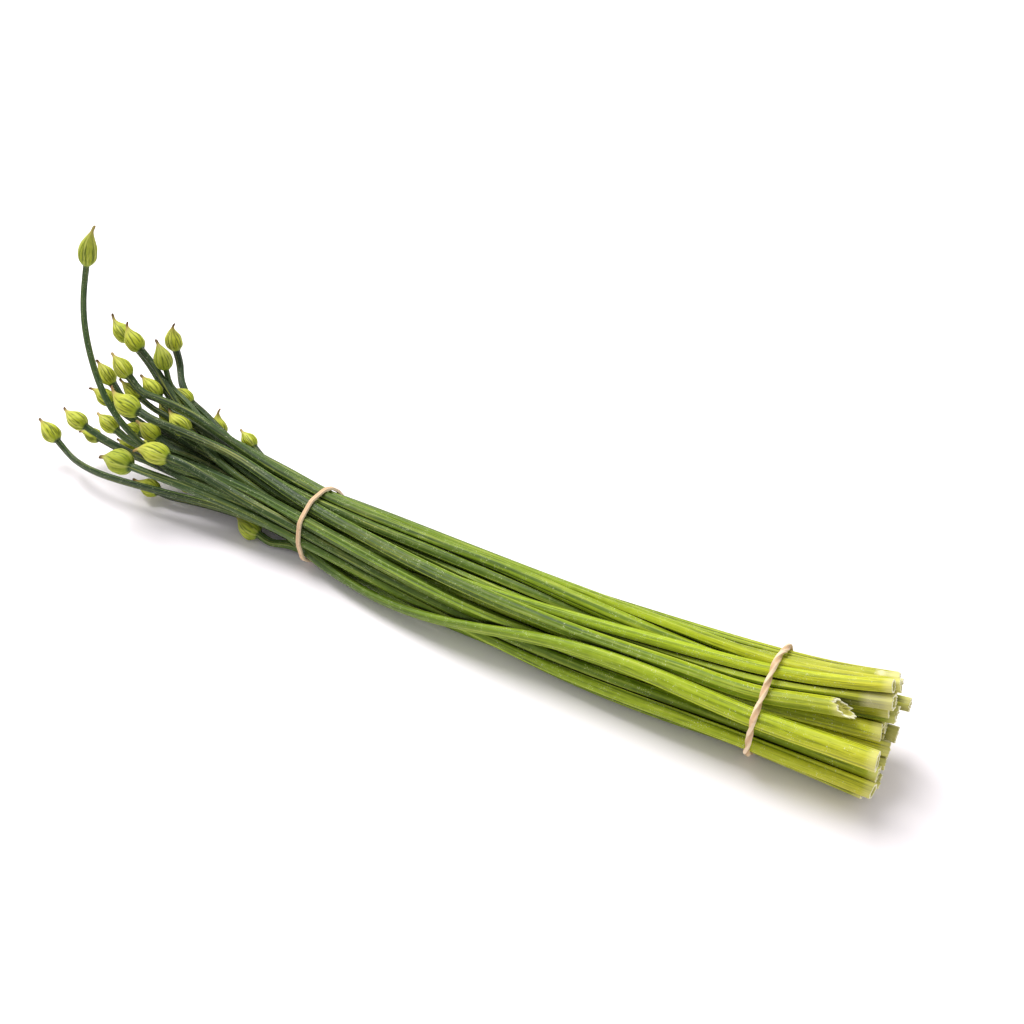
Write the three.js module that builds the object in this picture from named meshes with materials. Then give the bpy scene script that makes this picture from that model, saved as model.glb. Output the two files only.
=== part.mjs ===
// A bunch of flowering chives lying on a table: thirty-eight flower scapes, each with its closed
// bud, held by two rubber bands. Millimetres, +Z up, +X from the buds towards the cut ends.
//
// While it is worked out, the upper band stands at x = 0 and the table is z = 0. The scapes are
// laid out as thin routes from their slot in the bundle to their bud, then thickened step by step
// while they push each other apart and keep their own stiffness, as real stems do when a hand
// gathers them. At the end the whole bunch is centred over the origin.

import * as THREE from 'three';

// ---- Driving dimensions, mm ----

const BAND_SPACING = 168; // from the upper band to the lower one
const TAIL = 35; // the usual cut end, past the lower band
const TAIL_SPREAD = 5; // how unevenly the ends are cut
const CUT_LEAN = 0.25; // how much shorter the higher scapes are, as a share of their height
const LOWER_RING = 15.2; // inner radius that the lower band squeezes the scapes to
const UPPER_RING = 11.8;
const TAIL_RING = 19.4; // the cut ends spread to this radius

const BASE_RADIUS = 2.1; // a usual scape at its cut end
const NECK_RADIUS = 1.22; // and just below its bud
const THIN = 0.78; // girths of the thinnest and the thickest scapes, as shares of a usual one
const THICK = 1.2;
const BUD_RADIUS = 3.4;
const BUD_LENGTH = 11.4; // from the neck to the end of the beak
const BUD_MIDDLE = 0.36; // where the bud is thickest, as a share of its length
const NECK_LENGTH = 5; // straight bit of scape below the bud

const BAND_WIDTH = 2;
const BAND_THICKNESS = 1.2;
const BAND_CLEARANCE = 0.15; // between a band and the scapes it holds
const GAP = 0.15; // between neighbouring scapes

const SEGMENT = 24; // step along a scape in the bundle
const FAN_SEGMENT = 13; // and between the upper band and its bud
const SIDES = 8; // of a scape's section
const BAND_STEPS = 64; // round a band

// ---- The scapes ----
// bud: the middle of the bud. aim: where its beak points. budSize and girth: shares of the usual
// width of bud and scape. stretch: how much longer the bud is for its width.
// via: places that a curved scape passes through. cut: how much shorter its cut end is.

const LEVEL = [-1, 0, 0.15];
const RISING = [-1, 0, 0.5];
const STEEP = [-0.7, 0.1, 0.9];
const UPRIGHT = [-0.25, 0.15, 1];

const SCAPES = [
  {
    bud: [-108, 15, 84],
    aim: [0.2, 0.25, 1],
    budSize: 0.96,
    stretch: 1.4,
    girth: 0.8,
    via: [[-106, 5, 66], [-98, -3, 49], [-88, -8, 35], [-72, -8, 24], [-50, -4, 17]],
  },
  { bud: [-123, -11, 14], aim: [-0.8, 0.1, 0.6], girth: 0.9, via: [[-94, -18, 11], [-60, -13, 11]] },
  { bud: [-109, -8, 23], aim: [-1, -0.1, 0.45], girth: 0.92 },
  { bud: [-109, -3, 13], aim: LEVEL, budSize: 0.85, girth: 0.8 },
  { bud: [-92, -7, 27], aim: RISING, budSize: 0.94 },
  { bud: [-101, 2, 31], aim: RISING, budSize: 0.94 },
  { bud: [-104, 6, 37], aim: STEEP, budSize: 0.94 },
  { bud: [-92, 5, 44], aim: [-0.8, 0.1, 0.7], budSize: 0.98, girth: 1.04, via: [[-50, 6, 31]] },
  { bud: [-87, 4, 38], aim: RISING, budSize: 0.9 },
  { bud: [-81, 8, 38], aim: [-0.9, 0.2, 0.5] },
  {
    bud: [-79, -7, 40],
    aim: [-1, -0.1, 0.3],
    budSize: 1.17,
    stretch: 1.05,
    girth: 1.08,
    cut: 10,
    via: [[-40, 2, 27]],
  },
  { bud: [-85, -2, 24], aim: LEVEL, budSize: 0.8 },
  { bud: [-75, -3, 27], aim: RISING, budSize: 0.95 },
  { bud: [-60, -15, 31], aim: [-1, -0.2, 0.2], budSize: 1.16, stretch: 1.12, girth: 1.1 },
  { bud: [-73, -21, 26], aim: [-1, -0.1, 0.1], budSize: 1.36, stretch: 0.9, girth: 0.98 },
  { bud: [-74, -10, 6], aim: [-1, 0, 0.02], girth: 1.04 },
  { bud: [-68, -2, 13], aim: LEVEL },
  { bud: [-63, 2, 32], aim: RISING, budSize: 1.05, girth: 1.05 },
  { bud: [-78, 9, 26], aim: RISING, budSize: 0.95 },
  { bud: [-74, 15, 32], aim: RISING, budSize: 0.9 },
  { bud: [-66, 22, 17], aim: [-0.5, 0.3, 0.8], budSize: 0.92 },
  { bud: [-55, 26, 12], aim: [-1, 0.3, 0.4], budSize: 0.85, girth: 0.9 },
  { bud: [-27, -8, 5], aim: [-1, 0, 0.28], budSize: 1.05, girth: 0.95, via: [[-12, -7, 3]] },
  { bud: [-82, 15, 46], aim: UPRIGHT, via: [[-72, 11, 35], [-56, 9, 27]] },
  { bud: [-106, 20, 48], aim: [-1, 0.2, 0.5], via: [[-84, 14, 38], [-64, 10, 28]] },
  { bud: [-95, 16, 50], aim: [-0.8, 0.1, 0.6], via: [[-78, 10, 37], [-60, 8, 27]] },
  { bud: [-89, 29, 45], aim: UPRIGHT, budSize: 0.95, via: [[-83, 22, 35], [-69, 14, 27]] },
  { bud: [-92, 10, 6], aim: LEVEL, budSize: 0.9 },
  { bud: [-82, 24, 6], aim: LEVEL, budSize: 0.95 },
  { bud: [-66, 12, 5], aim: LEVEL, girth: 1.0 },
  { bud: [-86, 18, 19], aim: RISING, budSize: 0.9 },
  { bud: [-50, 3, 6], aim: LEVEL, budSize: 0.9 },
  { bud: [-70, 4, 8], aim: LEVEL, budSize: 0.9 },
  { bud: [-60, -4, 10], aim: LEVEL, budSize: 0.85 },
  { bud: [-90, -2, 14], aim: LEVEL, budSize: 0.9 },
  { bud: [-66, 12, 26], aim: RISING, budSize: 0.9, girth: 1.0 },
  { bud: [-46, 12, 9], aim: LEVEL, budSize: 0.85 },
  {
    bud: [-58, 10, 16],
    aim: LEVEL,
    budSize: 0.9,
    girth: 1.24,
    cut: -3,
    via: [[24, -14, 5], [48, -15, 7], [72, -15, 12], [96, -13, 18], [120, -12, 21], [168, -13, 21]],
  },
];

// ---- Laying out the routes ----

const DOWN_PULL = 0.012; // how far the bundle sinks in one step
const STIFFNESS = 0.45; // how much of its bend a scape loses in one step
const BUD_HOLD = 0.12; // how much of a bud's drift is taken back in one step
const VIA_HOLD = 0.35;
const GATHER_STEPS = 1400;
const SETTLE_STEPS = 260;
const LIST_STEPS = 20; // steps between two searches for neighbours
const LIST_MARGIN = 3;
const SPLAY_AWAY = 0.16; // how far the cut ends open to the far side, as a share of their distance
const SPLAY_UP = 0.34; // and how far up and down, as a share of their height over the middle
const SPLAY_HOLD = 0.3;
const SLOT_TWIST = 0.4; // radians that the bundle turns from one band to the other
const SLOT_SPREAD = 0.26; // distance from the bundle's axis, as a share of the bud's distance
const SLOT_SCATTER = 3; // mm of disorder inside the upper band
const TWIST_SCATTER = 5; // and between the two bands
const FIRST_GROWTH = 0.2; // share of its thickness that a scape starts with
const FIRST_LOOSENESS = 1.5; // how much wider than its ring a band starts
const CLOSING_SHARE = 0.7; // share of the gathering after which everything has its full size
const TAIL_CLOSENESS = 0.6; // how near the middle of the tail is to the lower band's ring

/** A number from 0 to 1 that looks random but is always the same for the same index. */
function scatter(index, seed) {
  const turns = (index + 1) * 0.61803398875 + seed * 0.7548776662 * (index + 3);
  return turns - Math.floor(turns);
}

const mix = (from, to, share) => from + (to - from) * share;

/** Where the scape sits inside a band: the direction its bud lies in, drawn in to the ring. */
function upperSlot(scape, index) {
  const y = scape.bud[1] * SLOT_SPREAD + SLOT_SCATTER * (scatter(index, 5) - 0.5);
  const z = (scape.bud[2] - UPPER_RING) * SLOT_SPREAD + SLOT_SCATTER * (scatter(index, 7) - 0.5);
  return [y, z];
}

/** The same slot at the lower band, after the bundle's twist and with some mixing. */
function lowerSlot(slot, index) {
  const cos = Math.cos(SLOT_TWIST);
  const sin = Math.sin(SLOT_TWIST);
  const y = cos * slot[0] - sin * slot[1] + TWIST_SCATTER * (scatter(index, 11) - 0.5);
  const z = sin * slot[0] + cos * slot[1] + TWIST_SCATTER * (scatter(index, 13) - 0.5);
  return [y, z];
}

/** Radii along a bud from its neck to the end of its beak, as [share of length, share of radius]. */
const BUD_PROFILE = [
  [0.06, 0.6],
  [0.18, 0.91],
  [BUD_MIDDLE, 1],
  [0.53, 0.88],
  [0.67, 0.57],
  [0.79, 0.25],
  [1, 0.08],
];

/** One scape as a row of points with a radius each, from its cut end to the end of its beak. */
function layOut(scape, index) {
  const aim = new THREE.Vector3(...scape.aim).normalize();
  const bud = new THREE.Vector3(...scape.bud);
  const budSize = scape.budSize ?? 1;
  const length = BUD_LENGTH * budSize * (scape.stretch ?? 1);
  const along = (share) => bud.clone().addScaledVector(aim, (share - BUD_MIDDLE) * length);
  const slot = upperSlot(scape, index);
  const low = lowerSlot(slot, index);
  const points = [];
  const radii = [];

  const usual = BAND_SPACING + TAIL - CUT_LEAN * THREE.MathUtils.clamp(low[1], -8, 8);
  const cut = usual + TAIL_SPREAD * (scatter(index, 3) - 0.5) - (scape.cut ?? 0);
  const bundleSteps = Math.round(BAND_SPACING / SEGMENT);
  const stations = [cut, (cut + BAND_SPACING) / 2];
  for (let step = bundleSteps; step >= 0; step -= 1) {
    stations.push((BAND_SPACING * step) / bundleSteps);
  }
  for (const x of stations) {
    const share = Math.min(x / BAND_SPACING, 1);
    const ring = mix(UPPER_RING, LOWER_RING, share);
    points.push(new THREE.Vector3(x, mix(slot[0], low[0], share), ring + mix(slot[1], low[1], share)));
  }

  const gate = points[points.length - 1];
  const neck = along(0).addScaledVector(aim, -NECK_LENGTH);
  const fanSteps = Math.max(2, Math.round(gate.distanceTo(neck) / FAN_SEGMENT));
  for (let step = 1; step < fanSteps; step += 1) {
    points.push(gate.clone().lerp(neck, step / fanSteps));
  }
  const firstRigid = points.length;
  points.push(neck, along(0));

  const girth = scape.girth ?? mix(THIN, THICK, scatter(index, 2));
  const scapeRadius = (share) => girth * mix(BASE_RADIUS, NECK_RADIUS, share);
  points.forEach((point, step) => radii.push(scapeRadius(step / (points.length - 1))));
  for (const [share, wide] of BUD_PROFILE) {
    points.push(along(share));
    radii.push(wide * BUD_RADIUS * budSize);
  }

  const pins = (scape.via ?? []).map((place) => {
    const target = new THREE.Vector3(...place);
    let nearest = 1;
    for (let step = 1; step < firstRigid; step += 1) {
      if (points[step].distanceTo(target) < points[nearest].distanceTo(target)) nearest = step;
    }
    return { step: nearest, target };
  });
  return {
    points,
    radii,
    pins,
    firstRigid,
    stations,
    bundled: stations.length,
    home: points.slice(firstRigid).map((point) => point.clone()),
  };
}

// ---- Pushing the scapes apart ----

/** How far along each of two segments their nearest points lie, as shares from 0 to 1. */
function nearestShares(a0, a1, b0, b1) {
  const ux = a1.x - a0.x;
  const uy = a1.y - a0.y;
  const uz = a1.z - a0.z;
  const vx = b1.x - b0.x;
  const vy = b1.y - b0.y;
  const vz = b1.z - b0.z;
  const wx = a0.x - b0.x;
  const wy = a0.y - b0.y;
  const wz = a0.z - b0.z;
  const uu = ux * ux + uy * uy + uz * uz;
  const vv = vx * vx + vy * vy + vz * vz;
  const uv = ux * vx + uy * vy + uz * vz;
  const uw = ux * wx + uy * wy + uz * wz;
  const vw = vx * wx + vy * wy + vz * wz;
  const clamp = (value) => Math.min(Math.max(value, 0), 1);
  const cross = uu * vv - uv * uv;
  let s = cross > 1e-6 * uu * vv ? clamp((uv * vw - vv * uw) / cross) : 0.5;
  const t = clamp((uv * s + vw) / vv);
  s = clamp((uv * t - uw) / uu);
  return [s, t];
}

/** Every pair of segments of two scapes that may touch before the next search. */
function listNeighbours(routes) {
  const near = [];
  const reach = (route, a) => Math.max(route.radii[a], route.radii[a + 1]) + LIST_MARGIN;
  for (let i = 0; i < routes.length; i += 1) {
    for (let j = i + 1; j < routes.length; j += 1) {
      for (let a = 0; a < routes[i].points.length - 1; a += 1) {
        const [p, q] = [routes[i].points[a], routes[i].points[a + 1]];
        const reachA = reach(routes[i], a);
        for (let b = 0; b < routes[j].points.length - 1; b += 1) {
          const [r, t] = [routes[j].points[b], routes[j].points[b + 1]];
          const far = reachA + reach(routes[j], b);
          if (Math.min(p.x, q.x) > Math.max(r.x, t.x) + far) continue;
          if (Math.min(r.x, t.x) > Math.max(p.x, q.x) + far) continue;
          if (Math.min(p.y, q.y) > Math.max(r.y, t.y) + far) continue;
          if (Math.min(r.y, t.y) > Math.max(p.y, q.y) + far) continue;
          if (Math.min(p.z, q.z) > Math.max(r.z, t.z) + far) continue;
          if (Math.min(r.z, t.z) > Math.max(p.z, q.z) + far) continue;
          near.push([routes[i], a, routes[j], b]);
        }
      }
    }
  }
  return near;
}

/** Moves apart each listed pair of segments that is too close. */
function separate(near, growth) {
  for (const [first, a, second, b] of near) {
    const a0 = first.points[a];
    const a1 = first.points[a + 1];
    const b0 = second.points[b];
    const b1 = second.points[b + 1];
    const [s, t] = nearestShares(a0, a1, b0, b1);
    const radiusA = mix(first.radii[a], first.radii[a + 1], s);
    const radiusB = mix(second.radii[b], second.radii[b + 1], t);
    const apart = growth * (radiusA + radiusB) + GAP;
    const dx = mix(a0.x, a1.x, s) - mix(b0.x, b1.x, t);
    const dy = mix(a0.y, a1.y, s) - mix(b0.y, b1.y, t);
    const dz = mix(a0.z, a1.z, s) - mix(b0.z, b1.z, t);
    const distance = Math.hypot(dx, dy, dz);
    if (distance >= apart || distance === 0) continue;
    const weight = (1 - s) ** 2 + s ** 2 + (1 - t) ** 2 + t ** 2;
    const push = (apart - distance) / distance / weight;
    const move = (point, share) => {
      point.x += dx * push * share;
      point.y += dy * push * share;
      point.z += dz * push * share;
    };
    move(a0, 1 - s);
    move(a1, s);
    move(b0, t - 1);
    move(b1, -t);
  }
}

/** Lets each scape straighten a little, as a beam does; bundled points keep their station. */
function straighten(route) {
  const { points, firstRigid, bundled } = route;
  const old = points.map((point) => point.clone());
  const goal = new THREE.Vector3();
  for (let step = 0; step < firstRigid; step += 1) {
    if (step === 0) {
      goal.copy(old[1]).multiplyScalar(2).sub(old[2]);
    } else if (step === 1) {
      goal.copy(old[0]).add(old[2]).multiplyScalar(0.5);
    } else {
      goal.copy(old[step - 1]).add(old[step + 1]).multiplyScalar(4);
      goal.sub(old[step - 2]).sub(old[step + 2]).divideScalar(6);
    }
    if (step < bundled) goal.x = old[step].x;
    points[step].lerp(goal, STIFFNESS);
  }
}

/** Carries a bud as one stiff piece: its points keep their places about their common drift. */
function holdBud(route, hold) {
  const drift = new THREE.Vector3();
  const rigid = route.points.slice(route.firstRigid);
  rigid.forEach((point, step) => drift.add(point).sub(route.home[step]));
  drift.multiplyScalar((1 - hold) / rigid.length);
  rigid.forEach((point, step) => point.copy(route.home[step]).add(drift));
}

/** Keeps the bundle inside the two bands' rings and the tail's. */
function holdInside(route, growth, looseness) {
  const rings = [
    { step: 0, radius: TAIL_RING * looseness },
    { step: 1, radius: mix(TAIL_RING, LOWER_RING, TAIL_CLOSENESS) * looseness },
    { step: 2, radius: LOWER_RING * looseness },
    { step: route.bundled - 1, radius: UPPER_RING * looseness },
  ];
  for (const ring of rings) {
    const point = route.points[ring.step];
    const room = ring.radius - growth * route.radii[ring.step];
    const height = ring.radius + BAND_THICKNESS;
    const away = Math.hypot(point.y, point.z - height);
    if (away > room) {
      point.y *= room / away;
      point.z = height + ((point.z - height) * room) / away;
    }
  }
}

/** Opens the tail like a brush, up and to the far side, while the lowest scapes sink to the table. */
function splay(route) {
  const [end, , band, before] = route.points;
  const reach = (end.x - band.x) / (band.x - before.x);
  const goal = band.clone().sub(before).multiplyScalar(reach).add(band);
  goal.y += SPLAY_AWAY * (band.y + LOWER_RING);
  goal.z += SPLAY_UP * (band.z - LOWER_RING);
  end.lerp(goal, SPLAY_HOLD);
}

/** Puts the bundled points back at their stations along the bunch. */
function holdStations(route) {
  route.stations.forEach((x, step) => {
    route.points[step].x = x;
  });
}

/** Keeps a route above the table, and above the thickness of a band where one runs under it. */
function keepUp(route, growth) {
  route.points.forEach((point, step) => {
    const banded = step === 2 || step === route.bundled - 1;
    const lift = banded ? BAND_THICKNESS + BAND_CLEARANCE : 0;
    point.z = Math.max(point.z, growth * route.radii[step] + lift);
  });
}

/** Gathers the bunch: thin routes first, then thicker, inside rings that close on them. */
function gather(scapes) {
  const routes = scapes.map(layOut);
  let near = [];
  for (let step = 0; step < GATHER_STEPS + SETTLE_STEPS; step += 1) {
    const share = Math.min(step / (CLOSING_SHARE * GATHER_STEPS), 1);
    const growth = mix(FIRST_GROWTH, 1, share);
    const looseness = mix(FIRST_LOOSENESS, 1, share);
    const settling = step >= GATHER_STEPS;
    if (step % LIST_STEPS === 0) near = listNeighbours(routes);
    for (const route of routes) {
      if (!settling) {
        straighten(route);
        splay(route);
        for (const pin of route.pins) route.points[pin.step].lerp(pin.target, VIA_HOLD);
        for (let index = 0; index < route.bundled; index += 1) route.points[index].z -= DOWN_PULL;
      }
      holdBud(route, settling ? 0 : BUD_HOLD);
      if (!settling) holdInside(route, growth, looseness);
    }
    separate(near, growth);
    for (const route of routes) {
      holdStations(route);
      keepUp(route, growth);
    }
  }
  return routes;
}

// ---- Solids ----

/** A closed tube through rings of points; each end closes on a point of its own. */
function closedLoft(rings, start, end) {
  const sides = rings[0].length;
  const positions = [start, ...rings.flat(), end].flatMap((point) => [point.x, point.y, point.z]);
  const vertex = (ring, side) => 1 + ring * sides + (side % sides);
  const last = 1 + rings.length * sides;
  const faces = [];
  for (let side = 0; side < sides; side += 1) {
    faces.push(0, vertex(0, side + 1), vertex(0, side));
    faces.push(last, vertex(rings.length - 1, side), vertex(rings.length - 1, side + 1));
    for (let ring = 0; ring < rings.length - 1; ring += 1) {
      faces.push(vertex(ring, side), vertex(ring, side + 1), vertex(ring + 1, side + 1));
      faces.push(vertex(ring, side), vertex(ring + 1, side + 1), vertex(ring + 1, side));
    }
  }
  return solid(positions, faces);
}

/** A closed ring: sections carried round a loop, the last one joined to the first. */
function closedRing(sections) {
  const sides = sections[0].length;
  const positions = sections.flat().flatMap((point) => [point.x, point.y, point.z]);
  const vertex = (section, side) => (section % sections.length) * sides + (side % sides);
  const faces = [];
  for (let section = 0; section < sections.length; section += 1) {
    for (let side = 0; side < sides; side += 1) {
      faces.push(vertex(section, side), vertex(section, side + 1), vertex(section + 1, side + 1));
      faces.push(vertex(section, side), vertex(section + 1, side + 1), vertex(section + 1, side));
    }
  }
  return solid(positions, faces);
}

function solid(positions, faces) {
  const geometry = new THREE.BufferGeometry();
  geometry.setAttribute('position', new THREE.Float32BufferAttribute(positions, 3));
  geometry.setIndex(faces);
  geometry.computeVertexNormals();
  return geometry;
}

/** The scape's and bud's skin: a ring square to the route at each of its points. */
function scapeGeometry({ points, radii }) {
  const tangents = points.map((point, step) => {
    const before = points[Math.max(step - 1, 0)];
    const after = points[Math.min(step + 1, points.length - 1)];
    return after.clone().sub(before).normalize();
  });
  const side = new THREE.Vector3(0, 1, 0);
  const rings = points.map((point, step) => {
    const tangent = tangents[step];
    side.addScaledVector(tangent, -side.dot(tangent)).normalize();
    const up = new THREE.Vector3().crossVectors(tangent, side);
    return Array.from({ length: SIDES }, (_, corner) => {
      const angle = (2 * Math.PI * corner) / SIDES;
      return point
        .clone()
        .addScaledVector(side, radii[step] * Math.cos(angle))
        .addScaledVector(up, radii[step] * Math.sin(angle));
    });
  });
  return closedLoft(rings, points[0], points[points.length - 1]);
}

/** Where a route crosses the plane at station x, with its radius there. */
function crossing({ points, radii, bundled }, x) {
  for (let step = 0; step < bundled + 1; step += 1) {
    const [from, to] = [points[step], points[step + 1]];
    if ((from.x - x) * (to.x - x) <= 0 && from.x !== to.x) {
      const share = (x - from.x) / (to.x - from.x);
      const slope = from.distanceTo(to) / Math.abs(to.x - from.x);
      const radius = mix(radii[step], radii[step + 1], share) * slope;
      return { y: mix(from.y, to.y, share), z: mix(from.z, to.z, share), radius };
    }
  }
  return null;
}

/** A band pulled tight round every scape at station x: it follows the outermost of them. */
function bandGeometry(routes, x) {
  const stations = [x - BAND_WIDTH / 2, x, x + BAND_WIDTH / 2];
  const discs = stations.flatMap((place) => routes.map((route) => crossing(route, place)));
  const sections = [];
  for (let step = 0; step < BAND_STEPS; step += 1) {
    const angle = (2 * Math.PI * step) / BAND_STEPS;
    const [ny, nz] = [Math.cos(angle), Math.sin(angle)];
    const reach = (disc) => disc.y * ny + disc.z * nz + disc.radius;
    const outer = discs.reduce((best, disc) => (reach(disc) > reach(best) ? disc : best));
    const corner = (dx, out) =>
      new THREE.Vector3(x + dx, outer.y + (outer.radius + out) * ny, outer.z + (outer.radius + out) * nz);
    const inner = BAND_CLEARANCE;
    const outside = BAND_CLEARANCE + BAND_THICKNESS;
    sections.push([
      corner(-BAND_WIDTH / 2, inner),
      corner(BAND_WIDTH / 2, inner),
      corner(BAND_WIDTH / 2, outside),
      corner(-BAND_WIDTH / 2, outside),
    ]);
  }
  return closedRing(sections);
}

// ---- The bunch ----

const SCAPE_GREEN = new THREE.Color(0.3, 0.45, 0.1);
const RUBBER_TAN = new THREE.Color(0.78, 0.6, 0.42);

function named(name, geometry, color, roughness) {
  const material = new THREE.MeshStandardMaterial({ color, roughness, metalness: 0 });
  const mesh = new THREE.Mesh(geometry, material);
  mesh.name = name;
  return mesh;
}

function buildBunch() {
  const bunch = new THREE.Group();
  const routes = gather(SCAPES);
  routes.forEach((route, index) => {
    const name = `chive_${String(index + 1).padStart(2, '0')}`;
    bunch.add(named(name, scapeGeometry(route), SCAPE_GREEN, 0.5));
  });
  bunch.add(named('lower_band', bandGeometry(routes, BAND_SPACING), RUBBER_TAN, 0.7));
  bunch.add(named('upper_band', bandGeometry(routes, 0), RUBBER_TAN, 0.7));

  const box = new THREE.Box3().setFromObject(bunch);
  const centre = box.getCenter(new THREE.Vector3());
  bunch.position.set(-centre.x, -centre.y, -box.min.z);
  return bunch;
}

export default buildBunch();
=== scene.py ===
# %% [markdown]
# # A bunch of flowering chives
#
# Thirty-eight flower scapes lie on a table, held by two rubber bands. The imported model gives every
# scape's route and thickness; this script grows the visible plant on those routes: an angular waxy
# stem, a cut end with its pale pith, and a papery bud with its folds and its dry beak.
#
# Everything is in metres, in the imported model's own frame: +X runs from the buds to the cut ends
# and +Z is up.

import bpy
import numpy as np
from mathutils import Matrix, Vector


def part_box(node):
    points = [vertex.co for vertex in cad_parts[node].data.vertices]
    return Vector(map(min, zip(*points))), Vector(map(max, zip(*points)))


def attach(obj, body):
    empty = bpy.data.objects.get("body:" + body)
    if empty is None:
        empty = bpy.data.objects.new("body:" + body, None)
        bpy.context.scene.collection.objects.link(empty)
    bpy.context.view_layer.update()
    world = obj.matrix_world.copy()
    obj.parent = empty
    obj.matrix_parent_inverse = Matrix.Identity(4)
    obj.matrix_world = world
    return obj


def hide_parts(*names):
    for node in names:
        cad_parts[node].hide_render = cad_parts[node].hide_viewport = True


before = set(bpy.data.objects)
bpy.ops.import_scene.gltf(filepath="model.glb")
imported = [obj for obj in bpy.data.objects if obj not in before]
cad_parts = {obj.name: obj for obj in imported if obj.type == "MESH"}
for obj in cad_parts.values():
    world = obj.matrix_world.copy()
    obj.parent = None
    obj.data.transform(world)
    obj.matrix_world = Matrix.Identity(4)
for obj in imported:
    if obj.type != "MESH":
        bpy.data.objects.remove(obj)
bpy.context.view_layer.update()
MM = 0.001
SCAPES = sorted(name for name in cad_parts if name.startswith("chive_"))

# %% [markdown]
# ## Reading a scape's route
#
# A scape's solid is a closed tube: rings of corners square to its route, with one corner in the
# middle of each end. The rings could be found by sorting along X, but the tall scape turns upwards,
# so they are walked instead: from the middle of the cut end to its neighbours, then to theirs. Each
# step of the walk is one ring, its mean is a point of the route, and its spread is the radius.

# %% Merge the corners of a solid
MERGE = 0.001  # mm: corners nearer than this are one corner
END_NEIGHBOURS = 8  # the corner in the middle of an end has this many neighbours


def merged_corners(mesh):
    """The different corners of a mesh of loose triangles, and every pair that shares an edge."""
    mesh.calc_loop_triangles()
    corners = np.empty(len(mesh.vertices) * 3)
    mesh.vertices.foreach_get("co", corners)
    triangles = np.empty(len(mesh.loop_triangles) * 3, np.int64)
    mesh.loop_triangles.foreach_get("vertices", triangles)
    grid = np.round(corners.reshape(-1, 3) / (MERGE * MM)).astype(np.int64)
    points, merged = np.unique(grid, axis=0, return_inverse=True)
    a, b, c = merged.ravel()[triangles].reshape(-1, 3).T
    edges = np.unique(np.stack([np.r_[a, b, c, b, c, a], np.r_[b, c, a, a, b, c]], 1), axis=0)
    return points * MERGE * MM, edges


# %% Walk the rings of a scape's solid
def rings_of(name):
    """The route of one scape, cut end first: (centres, radii), one row for each ring of corners."""
    points, edges = merged_corners(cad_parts[name].data)
    ends = np.flatnonzero(np.bincount(edges[:, 0]) == END_NEIGHBOURS)
    front = ends[[np.argmax(points[ends, 0])]]
    seen = np.zeros(len(points), bool)
    seen[front] = True
    centres = []
    radii = []
    while len(front):
        ring = points[front]
        centres.append(ring.mean(0))
        radii.append(np.linalg.norm(ring - ring.mean(0), axis=1).mean())
        reached = np.unique(edges[np.isin(edges[:, 0], front), 1])
        front = reached[~seen[reached]]
        seen[front] = True
    return np.array(centres[1:-1]), np.array(radii[1:-1])


routes = {name: rings_of(name) for name in SCAPES}
print("rings of the first scape:", len(routes[SCAPES[0]][0]))

# %% [markdown]
# ## A smooth path through the rings
#
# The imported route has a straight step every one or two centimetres. A stem bends evenly, so a
# natural cubic spline runs through the ring centres: it is the curve that a thin springy rod takes
# when it is held at those points. Its bends come from one small set of linear equations.


# %% Natural cubic spline
def spline(knots, values, at):
    """The natural cubic through values at knots, read at the places in at.

    The second derivatives are zero at both ends, and inside they make the slopes agree."""
    values = values.reshape(len(knots), -1)
    gap = np.diff(knots)
    count = len(knots)
    system = np.eye(count)
    inner = np.arange(1, count - 1)
    system[inner, inner - 1] = gap[:-1]
    system[inner, inner] = 2 * (gap[:-1] + gap[1:])
    system[inner, inner + 1] = gap[1:]
    slope = np.diff(values, axis=0) / gap[:, None]
    target = np.zeros_like(values)
    target[1:-1] = 6 * np.diff(slope, axis=0)
    bend = np.linalg.solve(system, target)
    step = np.clip(np.searchsorted(knots, at, side="right") - 1, 0, count - 2)
    width = gap[step][:, None]
    right = ((at - knots[step])[:, None]) / width
    left = 1 - right
    curve = left * values[step] + right * values[step + 1]
    sag = (left**3 - left) * bend[step] + (right**3 - right) * bend[step + 1]
    return np.squeeze(curve + sag * width**2 / 6)


# %% Two small helpers
def unit(vectors):
    """Vectors brought to length one."""
    return vectors / np.linalg.norm(vectors, axis=-1, keepdims=True)


def smoothstep(low, high, x):
    """0 below low, 1 above high, and an even S between them."""
    share = np.clip((x - low) / (high - low), 0, 1)
    return share * share * (3 - 2 * share)


# %% [markdown]
# ## Routes and frames
#
# Every scape is sampled at the same number of places, close together at the cut end and in the bud
# where its shape turns quickly. Each place gets a frame: the tangent, a side direction that stays
# nearly level, and a third one square to both. All scapes together make arrays of scapes by places,
# so that they can be compared with each other.

# %% Where a scape's skin has a ring
BUD_RINGS = 8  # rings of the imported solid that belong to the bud, its joint included
CUT_PLACES = np.array([0.35, 0.8, 1.5, 2.4, 3.6, 5.0]) * MM  # close together behind the cut
STEM_START = 7 * MM
STEM_STOP = 1.2 * MM  # before the bud's joint
STEM_PLACES = 112
BUD_PLACES = 46


def places(total, bud):
    """Distances from the cut end: even along the stem, and along the bud those of a half turn."""
    stem = np.linspace(STEM_START, total - bud - STEM_STOP, STEM_PLACES)
    swell = total - bud * (0.5 + 0.5 * np.cos(np.linspace(0, np.pi, BUD_PLACES)))
    return np.r_[CUT_PLACES, stem, swell[:-1]]


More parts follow.
